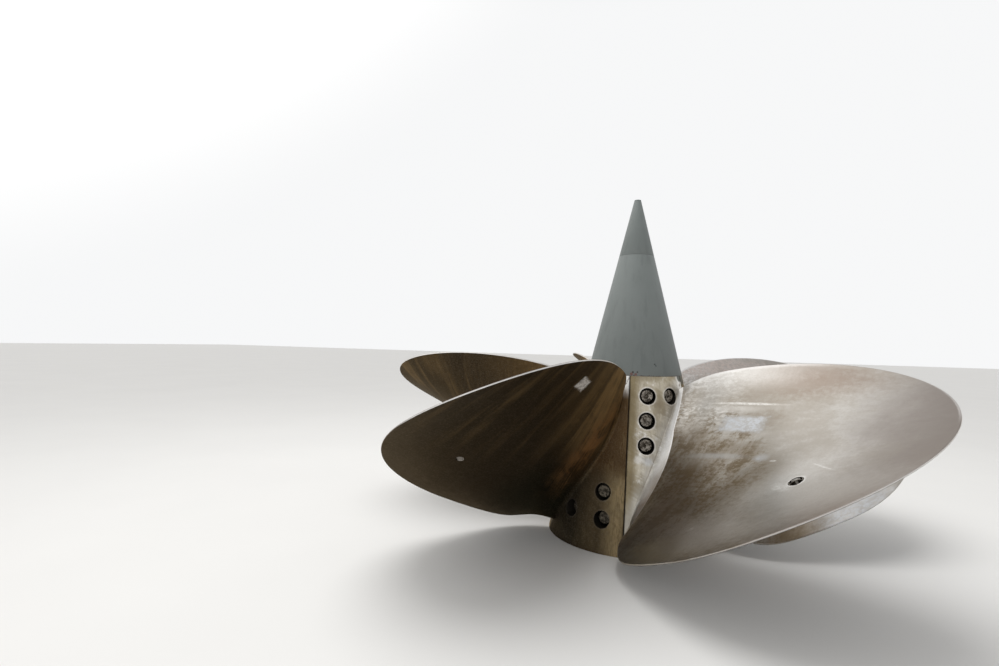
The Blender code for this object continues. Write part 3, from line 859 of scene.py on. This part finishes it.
def blade_finish(number, azimuth):
    """Ground stainless steel: bright and pale on the face, brown at the root, and dark underneath,
    partly from its patina and partly painted shade.
    """
    material, work = new_finish(f"blade_steel_{number}")
    mix, ease, noise, moved = work.mix, work.ease, work.noise, work.moved
    place = work.place()
    drawing = work.node("ShaderNodeUVMap", {"uv_map": "drawing"}, {})
    under, rim, off, reach = [
        work.node("ShaderNodeAttribute", {"attribute_name": name}, {}, output="Fac")
        for name in DRAWN_VALUES]
    shift = (3.7 * number, 1.9 * number, 0.0)
    local = moved(place, turn=-azimuth)
    x, y, z = work.split(local)
    radius = work.math('SQRT', x * x + y * y)
    arc = work.math('ARCTAN2', y, x) * radius
    over_hub = radius - hub_radius(z)
    along, from_axis, _ = work.split(drawing)

    # Patterns: broad clouds, mottling, soft smudges along the root, faint grinding strokes two ways,
    # specks, grain and bands round the axis
    def drawn_out(turn_deg, scale, *pattern):
        return noise(moved(drawing, shift, math.radians(turn_deg), (*scale, 1)), 1.0, *pattern)

    shifted = moved(drawing, shift)
    clouds = noise(shifted, 1.7, 3.0, 0.5, 0.4)
    mottle = noise(shifted, 6.0, 8.0, 0.68, 0.6)
    smudge = drawn_out(14, (5, 11), 7.0, 0.60, 0.3)
    blots = drawn_out(0, (38, 20), 6.0, 0.70, 0.3)
    strokes_out = drawn_out(0, (46, 6), 6.0, 0.62)
    strokes_round = drawn_out(0, (6, 42), 6.0, 0.62)
    slant = drawn_out(38, (22, 7), 6.0, 0.6, 0.4)
    speck = noise(shifted, 42.0, 6.0, 0.75)
    grain = noise(moved(place, shift), 90.0, 3.0, 0.6)
    bands = drawn_out(8, (0.9, 10), 5.0, 0.60, 0.2)
    fine_bands = drawn_out(8, (1.8, 60), 4.0, 0.6)
    ragged = noise(shifted, 24.0, 6.0, 0.68)
    runs = noise(moved(place, shift, scale=(17, 17, 1.8)), 1.0, 5.0, 0.62)
    thin_runs = noise(moved(place, shift, scale=(80, 80, 2.6)), 1.0, 4.0, 0.6)

    # The face: pale and a little rosy outside, mottled brown inside a slanting line, and worn white
    # in blots near the upper edge of the root
    tone = clouds * 0.9 + (slant - 0.5) * 0.7 + (mottle - 0.5) * 0.6 + (speck - 0.5) * 0.5
    face = mix(ease(tone, 0.22, 0.72), PALE_STEEL, BRIGHT_STEEL)
    outer = from_axis + (clouds - 0.5) * 0.6 + (mottle - 0.5) * 0.5
    face = mix(ease(outer, 1.72, 2.35), face, ROSY_STEEL)
    inside = from_axis + along * 0.78 + (mottle - 0.5) * 0.35 + (smudge - 0.5) * 0.2
    inside = ease(inside, 1.62, 1.34)
    weave = mottle * 0.6 + smudge * 0.4 + (strokes_out - 0.5) * 0.14 + (strokes_round - 0.5) * 0.16
    weave = weave + (speck - 0.5) * 0.42
    low_down = ease(along, -0.15, -0.65)
    stained = inside * ease(weave, 0.32, 0.58) * ease(along, 0.62, 0.15) * (0.9 - low_down * 0.35)
    face = mix(stained, face, DULL_STEEL)
    browned = inside * ease(weave + (blots - 0.5) * 0.5, 0.45, 0.62) * ease(along, 0.74, 0.30)
    face = mix(browned * (0.85 - low_down * 0.35), face, ROOT_BROWN)
    near_root = ease(over_hub + (mottle - 0.5) * 0.3, 0.75, 0.05)
    blotted = near_root * ease(smudge + (blots - 0.5) * 0.5 + (speck - 0.5) * 0.3, 0.40, 0.66)
    face = mix(blotted * 0.5, face, DULL_STEEL)
    white = ease(from_axis, 1.12, 0.80) * ease(along, 0.22, 0.48)
    white = white * ease(blots + (strokes_out - 0.5) * 0.5, 0.54, 0.40)
    face = mix(white * 0.65, face, WHITE_STEEL)

    # The underside: dark brown in bands round the axis, golden and orange towards the root. Its
    # near-black brown is partly the steel's patina and partly painted shade, for the shaded ground that
    # it reflects
    wide = ease(bands, 0.44, 0.68) * ease(along, -0.3, 0.6)
    dark = mix(wide * 0.30, UNDER_BROWN, UNDER_GOLD)
    golden = ease(from_axis + (bands - 0.5) * 0.7, 1.45, 0.80) * ease(along, -0.05, 0.55)
    streaks = bands + (fine_bands - 0.5) * 0.30 + (mottle - 0.5) * 0.50 + (speck - 0.5) * 0.20
    dark = mix(golden * (0.22 + ease(streaks, 0.34, 0.62) * 0.78), dark, UNDER_GOLD)
    from_belt = over_hub + (bands - 0.5) * 0.10 + (mottle - 0.5) * 0.08
    belt = ease(from_belt, 0.40, 0.24) * ease(from_belt, 0.06, 0.14)
    rusty = belt * ease(along, 0.75, 0.35) * ease(along, -0.60, -0.15)
    dark = mix(rusty * ease(fine_bands + (mottle - 0.5) * 1.2, 0.34, 0.66), dark, UNDER_ORANGE)
    dark = mix(ease(fine_bands + (mottle - 0.5) * 0.4, 0.45, 0.72) * 0.4, dark, UNDER_BROWN)
    dark = mix(ease(from_axis + (clouds - 0.5) * 0.4, 1.9, 2.4) * 0.05, dark, UNDER_PALE)
    face = mix(ease(under, 0.35, 0.85), face, dark)

    # The palm: warm grey with runs of stain over the blade. Under the blade it is painted in shade:
    # umber, darker brown higher up, with gold streaks and a painted pool of gold light near its right
    # seam
    dirt = noise(moved(place, shift, scale=(19, 19, 12)), 1.0, 8.0, 0.70, 0.3)
    stain = ease(runs + (mottle - 0.5) * 0.8 + (speck - 0.5) * 0.4, 0.40, 0.64)
    palm = mix(stain * 0.55, PALM_WARM, PALM_OLIVE)
    palm = mix(ease(dirt + (thin_runs - 0.5) * 0.3, 0.50, 0.66) * 0.38, palm, ROOT_BROWN)
    palm = mix(ease(dirt + (speck - 0.5) * 0.4, 0.46, 0.34) * 0.60, palm, WHITE_STEEL)
    palm = mix(ease(thin_runs + (speck - 0.5) * 0.5, 0.46, 0.68) * 0.40, palm, DULL_STEEL)
    under_cone = ease(z + (dirt - 0.5) * 0.07, 1.30, 1.35)
    palm = mix(under_cone * 0.55, palm, PALM_OLIVE)
    from_left = SECTOR / 2 * radius + arc
    column = ease(from_left + (runs - 0.5) * 0.06, 0.092, 0.035)
    palm = mix(column * (0.65 + dirt * 0.70), palm, PALM_OLIVE)
    # Painted reflection of the sky: a bluish tint on the palm beside the blade
    beside = ease(off + (mottle - 0.5) * 0.12, 0.13, 0.03)
    palm = mix(beside * 0.30, palm, BLUE_STEEL)
    for centre, size, tint, strength in palm_spots.get(number, []):
        palm = mix(spot(work, place, dirt, centre, size, 0.7) * strength, palm, tint)
    # Painted shade on the palm under the blade, with a painted pool of gold light near its right seam
    from_right = SECTOR / 2 * radius - arc
    shaded = mix(ease(from_right + (runs - 0.5) * 0.14, 0.50, 0.26), PALM_SHADE, PALM_UMBER)
    lit = ease(from_right + (runs - 0.5) * 0.10, 0.22, 0.04)
    shaded = mix(lit * (0.40 + stain * 0.45), shaded, PALM_GOLD)
    shaded = mix(ease(thin_runs, 0.45, 0.70) * 0.45, shaded, PALM_UMBER)
    high_up = ease(z + (mottle - 0.5) * 0.2, 0.50, 0.70)
    shaded = mix(high_up * (0.92 + (runs - 0.5) * 0.6), shaded, STRIP_BROWN)
    gilt = ease(runs + (thin_runs - 0.5) * 0.6, 0.50, 0.72)
    shaded = mix(high_up * gilt * 0.25, shaded, PALM_GOLD)
    palm = mix(ease(under, 0.3, 0.9), palm, shaded)
    corner = ease(z + (mottle - 0.5) * 0.06, 1.17, 1.27) * ease(from_right, 0.10, 0.045)
    palm = mix(corner * 0.9, palm, WHITE_STEEL)
    on_face = ease(under, 0.4, 0.1)
    on_palm = ease(over_hub - on_face * (reach - PALM_BORDER[0]), *PALM_BORDER)
    colour = mix(on_palm, face, palm)

    # Painted reflection of the sky in the fillet over the face, ending in a thin painted highlight
    # along its crest
    share = over_hub / reach
    fillet = ease(share + (dirt - 0.5) * 0.6, 0.0, 0.5) * ease(share, 1.0, 0.92) * on_face
    colour = mix(fillet * 0.8, colour, WHITE_STEEL)
    crest_highlight = ease(share, 0.82, 0.90) * ease(share, 1.04, 0.99) * on_face
    colour = mix(crest_highlight * (1.0 + (ragged - 0.5) * 0.4), colour, EDGE_STEEL)
    # Paint laps, and on the second palm a dark stain with painted shade
    for centre, size, tint in paint_laps_and_shade.get(number, []):
        colour = mix(spot(work, place, ragged, centre, size), colour, tint)

    # Marks that only this blade has
    for tint, strength, wanted, centre, half, soft, *corners in own_marks.get(number, []):
        mask = mark(work, drawing, ragged, centre, half, soft, *corners)
        if wanted == "under":
            mask = mask * under
        elif wanted == "face":
            mask = mask * (1 - under)
        if 0.5 < soft < 1.5:
            mask = mask * (0.60 + ease(blots + (speck - 0.5) * 0.6, 0.42, 0.58) * 0.50)
        mask = mask * ease(over_hub, 0.0, 0.03)
        colour = mix(mask * (strength + (weave - 0.5) * strength), colour, tint)

    # Grain, a painted highlight along the flat edge, pale rims round the recesses that are partly wear
    # and partly painted highlight, grime in the seams, and grime with painted shade down in the
    # recesses
    colour = mix(ease(grain, 0.40, 0.75) * 0.14, colour, DULL_STEEL)
    # Painted highlight along the flat edge of the blade
    edge = ease(under, 0.22, 0.36) * ease(under, 0.95, 0.85) * ease(rim, *EDGE_HIGHLIGHT_BAND)
    edge = edge * ease(over_hub, 0.0, 0.1) * ease(along, edge_from.get(number, EDGE_FROM), 0.1)
    colour = mix(edge * (0.7 + (ragged - 0.5) * 0.8), colour, EDGE_STEEL)
    # Painted highlights along the upper edge of the face
    for width, strength, furthest in edge_highlights.get(number, []):
        worn = ease(rim + (ragged - 0.5) * width * 0.5, width, width * 0.4) * (1 - under)
        worn = worn * ease(along, 0.25, 0.45) * ease(over_hub, 0.0, 0.1)
        worn = worn * ease(from_axis, furthest, furthest - 0.4)
        colour = mix(worn * strength, colour, EDGE_STEEL)
    nearest = nearest_bolt(work, local)
    # Pale rims round the bolt recesses: partly wear and partly a painted highlight on their edges
    rim_wear_and_highlight = ease(nearest + (ragged - 0.5) * 0.020, *RIM_WEAR_AND_HIGHLIGHT) * on_palm
    colour = mix(rim_wear_and_highlight * (dirt * 0.8) * (1 - under * 0.93), colour, WHITE_STEEL)
    seam = work.math('ABSOLUTE', arc) - SECTOR / 2 * radius
    grime = on_palm * ease(seam + (thin_runs - 0.5) * 0.010, *SEAM_DIRTY)
    colour = mix(grime * 0.75, colour, SEAM_GRIME)
    # Painted shade, with grime, below the palm's outer surface: in the recesses and the seams
    sunk = ease(over_hub, *RECESS_DARK)
    colour = mix(sunk, colour, RECESS_GRIME_AND_SHADE)

    stained_all = stained * 0.12 + under * 0.16 + stain * on_palm * 0.08
    rough = 0.36 + (mottle - 0.5) * 0.16 + (strokes_out - 0.5) * 0.12 + stained_all
    relief = clouds * 0.010 + mottle * 0.0014 + speck * 0.00012 + strokes_out * 0.00012
    relief = relief + strokes_round * 0.00012 + grain * 0.00005
    to_ridge = 1 - work.math('MINIMUM', work.math('MAXIMUM', share, 0.0), 1.0)
    relief = relief + on_face * reach * to_ridge * FILLET_SLOPE
    metal = 0.95 - sunk * 0.6
    work.shade(Base_Color=colour, Roughness=rough, Metallic=metal, Normal=work.bump(relief, 0.6))
    work.shade(Specular_IOR_Level=0.3, Specular_Tint=GLOSS_TINT)
    return material


def copied(pattern, name, matrix, material):
    """A copy of a finished pattern with its own mesh, put in its place and given its finish."""
    piece = bpy.data.objects.new(name, pattern.data.copy())
    bpy.context.scene.collection.objects.link(piece)
    piece.data.transform(matrix)
    dress(piece, material)
    return piece


for k in range(BLADE_COUNT):
    azimuth = FIRST_PALM + k * SECTOR
    finish = blade_finish(k + 1, azimuth)
    piece = copied(casting, f"casting_{k + 1}", Matrix.Rotation(azimuth, 4, 'Z'), finish)
    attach(piece, "root")
    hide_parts(f"blade_{k + 1}")
bpy.data.objects.remove(casting)


# Bolts: round forged heads that stand in their recesses in the palms, turned on the face with a
# small centre hole, and dulled by weather.
HEAD_SIDES = 48
HEAD_CHAMFER = 0.006
HEAD_BEVEL = 0.0012
FACE_RING = 0.010
RING_DEPTH = 0.0012
CENTRE_HOLE = 0.006
CENTRE_DEPTH = 0.006
UPRIGHT = 0.9
NEARLY_LEVEL = 0.0001
NEARLY_OUTMOST = 0.0005
TURNED_SMOOTH_DEG = 35
HEAD_LIGHT = (0.37, 0.34, 0.30)
HEAD_DARK = (0.055, 0.045, 0.034)
STAINED_LIGHT = (0.15, 0.13, 0.10)
STAINED_DARK = (0.045, 0.038, 0.028)


def settle(obj):
    """Puts an object's place into its mesh."""
    obj.data.transform(obj.matrix_world)
    obj.matrix_world = Matrix.Identity(4)


def bevelled(obj, width, segments=2):
    """Rounds the sharp edges of a turned piece and smooths it between them."""
    apply_modifier(obj, 'BEVEL', width=width, segments=segments, limit_method='ANGLE')
    bpy.ops.object.shade_smooth_by_angle(angle=math.radians(TURNED_SMOOTH_DEG))


def bolt_head():
    """A head with its top face at the origin: chamfered, with a sunk face and a centre hole."""
    head = added(
        bpy.ops.mesh.primitive_cylinder_add, "bolt_head", vertices=HEAD_SIDES, radius=HEAD_RADIUS,
        depth=HEAD_HEIGHT, location=(0, 0, -HEAD_HEIGHT / 2))
    settle(head)
    mesh = head.data
    bpy.ops.object.mode_set(mode='EDIT')
    bpy.ops.mesh.select_mode(type='FACE')
    bpy.ops.mesh.select_all(action='DESELECT')
    bpy.ops.object.mode_set(mode='OBJECT')
    for face in mesh.polygons:
        face.select = face.normal.z > UPRIGHT
    bpy.ops.object.mode_set(mode='EDIT')
    bpy.ops.mesh.inset(thickness=HEAD_CHAMFER)
    bpy.ops.mesh.inset(thickness=FACE_RING)
    bpy.ops.transform.translate(value=(0, 0, -RING_DEPTH))
    bpy.ops.mesh.inset(thickness=HEAD_RADIUS - HEAD_CHAMFER - FACE_RING - CENTRE_HOLE)
    bpy.ops.mesh.extrude_region_move(TRANSFORM_OT_translate={"value": (0, 0, -CENTRE_DEPTH)})
    bpy.ops.object.mode_set(mode='OBJECT')
    for vertex in mesh.vertices:
        if vertex.co.z > -NEARLY_LEVEL and vertex.co.xy.length > HEAD_RADIUS - NEARLY_OUTMOST:
            vertex.co.z = -HEAD_CHAMFER
    bevelled(head, HEAD_BEVEL)
    return head


def bolt_finish(name, light, dark):
    material, work = new_finish(name)
    place = work.place()
    blobs = work.noise(place, 42.0, 4.0, 0.6, 0.8)
    fine = work.noise(place, 190.0, 4.0, 0.65)
    share = work.ease(blobs + (fine - 0.5) * 0.5, 0.40, 0.62)
    work.shade(Base_Color=work.mix(share, dark, light), Metallic=0.85)
    relief = blobs * 0.0022 + fine * 0.0003
    work.shade(Roughness=0.62 - share * 0.2, Normal=work.bump(relief, 0.8))
    return material


head = bolt_head()
upper_bolt = bolt_finish("bolt_steel_weathered", HEAD_LIGHT, HEAD_DARK)
lower_bolt = bolt_finish("bolt_steel_stained", STAINED_LIGHT, STAINED_DARK)
for k in range(BLADE_COUNT):
    turn = Matrix.Rotation(FIRST_PALM + k * SECTOR, 4, 'Z')
    for i, place in enumerate(bolt_places):
        finish = upper_bolt if i <= UPPER_COLUMN else lower_bolt
        name = f"bolt_head_{k + 1}_{i + 1}"
        piece = copied(head, name, turn @ out_of_hub(*place), finish)
        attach(piece, "root")
        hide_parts(f"blade_{k + 1}_bolt_{i + 1}")
bpy.data.objects.remove(head)


# Hub core: the plain cast steel cone that the palms are bolted round. It shows only in the open
# seams and from underneath, dark with old grime, so the CAD shape stays and gets this finish.
CORE_DARK = (0.030, 0.024, 0.019)
CORE_BROWN = (0.085, 0.062, 0.045)

material, work = new_finish("core_steel")
place = work.place()
patch = work.noise(place, 11.0, 5.0, 0.6)
grit = work.noise(place, 120.0, 3.0, 0.6)
work.shade(Base_Color=work.mix(work.ease(patch, 0.35, 0.7), CORE_DARK, CORE_BROWN), Metallic=0.6)
work.shade(Roughness=0.62 + (patch - 0.5) * 0.3)
work.shade(Normal=work.bump(patch * 0.002 + grit * 0.0004, 1.0))
dress(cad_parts["hub_core"], material)


# Cone: two rings of rolled sheet steel welded end to end and closed with a flat cap, painted a
# matt grey that has chipped and run a little at the foot.
JOINT_GAP = 0.0004
CONE_FOOT_Z = HUB_HEIGHT + JOINT_GAP
CONE_HEIGHT = 1.534
CONE_TIP_RADIUS = 0.028
WELD_HEIGHT = 1.034
SHEET = 0.006
RING_SIDES = 160
RING_BEVEL = 0.001
CAP = 0.008
CAP_SIDES = 64
CAP_BEVEL = 0.002
PAINT = (0.131, 0.147, 0.142)
PAINT_DARK = (0.110, 0.123, 0.119)
PAINT_FADED = (0.146, 0.162, 0.157)
CHIP_BROWN = (0.055, 0.030, 0.020)
RUST_RED = (0.130, 0.060, 0.050)
RUST_DARK = (0.030, 0.018, 0.014)
RUST_BROWN = (0.035, 0.022, 0.018)
CHIP_GREY = (0.035, 0.038, 0.036)
CHIP_DARK = (0.030, 0.033, 0.031)

# Rust and chips that show on the front of the lower ring: place, size and colour
paint_spots = [
    ((0.010, -0.397, 1.382), 0.013, RUST_RED),
    ((0.045, -0.394, 1.378), 0.012, RUST_RED),
    ((0.022, -0.394, 1.396), 0.009, RUST_DARK),
    ((0.058, -0.390, 1.399), 0.007, RUST_BROWN),
    ((0.190, -0.329, 1.464), 0.007, CHIP_GREY),
    ((0.198, -0.326, 1.452), 0.006, CHIP_DARK),
]


def cone_radius(height):
    return HUB_TOP + (CONE_TIP_RADIUS - HUB_TOP) * height / CONE_HEIGHT


def rolled_ring(name, low, high):
    """An open ring of sheet, turned as a cone and thickened inwards."""
    ring = added(
        bpy.ops.mesh.primitive_cone_add, name, vertices=RING_SIDES, radius1=cone_radius(low),
        radius2=cone_radius(high), depth=high - low, end_fill_type='NOTHING',
        location=(0, 0, CONE_FOOT_Z + (low + high) / 2))
    settle(ring)
    apply_modifier(ring, 'SOLIDIFY', thickness=SHEET, offset=-1.0)
    bevelled(ring, RING_BEVEL)
    return ring


material, work = new_finish("cone_paint")
place = work.place()
_, _, z = work.split(place)
clouds = work.noise(place, 2.6, 4.0, 0.55)
speck = work.noise(place, 60.0, 5.0, 0.7)
runs = work.noise(work.moved(place, scale=(16, 16, 0.9)), 1.0, 4.0, 0.6)
colour = work.mix(work.ease(clouds, 0.3, 0.7), PAINT, PAINT_FADED)
colour = work.mix(work.ease(runs, 0.48, 0.70) * 0.6, colour, PAINT_DARK)
colour = work.mix(work.ease(speck, 0.62, 0.72) * 0.35, colour, PAINT_DARK)
from_foot = z - CONE_FOOT_Z
chips = work.ease(from_foot + (speck - 0.5) * 0.06, 0.008, -0.004)
colour = work.mix(chips, colour, CHIP_BROWN)
for centre, size, tint in paint_spots:
    colour = work.mix(spot(work, place, speck, centre, size) * 0.9, colour, tint)
weld = work.math('ABSOLUTE', from_foot - WELD_HEIGHT)
colour = work.mix(work.ease(weld + (speck - 0.5) * 0.004, 0.007, 0.001) * 0.7, colour, PAINT_DARK)
relief = clouds * 0.004 + runs * 0.0012 + speck * 0.00025
rough = 0.52 + (speck - 0.5) * 0.2
work.shade(Base_Color=colour, Roughness=rough, Normal=work.bump(relief, 0.5))

lower_ring = rolled_ring("cone_lower_ring", 0.0, WELD_HEIGHT)
upper_ring = rolled_ring("cone_upper_ring", WELD_HEIGHT + JOINT_GAP, CONE_HEIGHT - CAP)

cap_height = CAP - JOINT_GAP
cap = added(
    bpy.ops.mesh.primitive_cone_add, "cone_flat_cap", vertices=CAP_SIDES,
    radius1=cone_radius(CONE_HEIGHT - CAP), radius2=CONE_TIP_RADIUS, depth=cap_height,
    location=(0, 0, CONE_FOOT_Z + CONE_HEIGHT - cap_height / 2))
settle(cap)
bevelled(cap, CAP_BEVEL, segments=3)

for piece, node in (
        (lower_ring, "cone_lower_section"), (upper_ring, "cone_upper_section"), (cap, "cone_tip_cap")):
    dress(piece, material)
    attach(piece, "root")
    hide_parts(node)
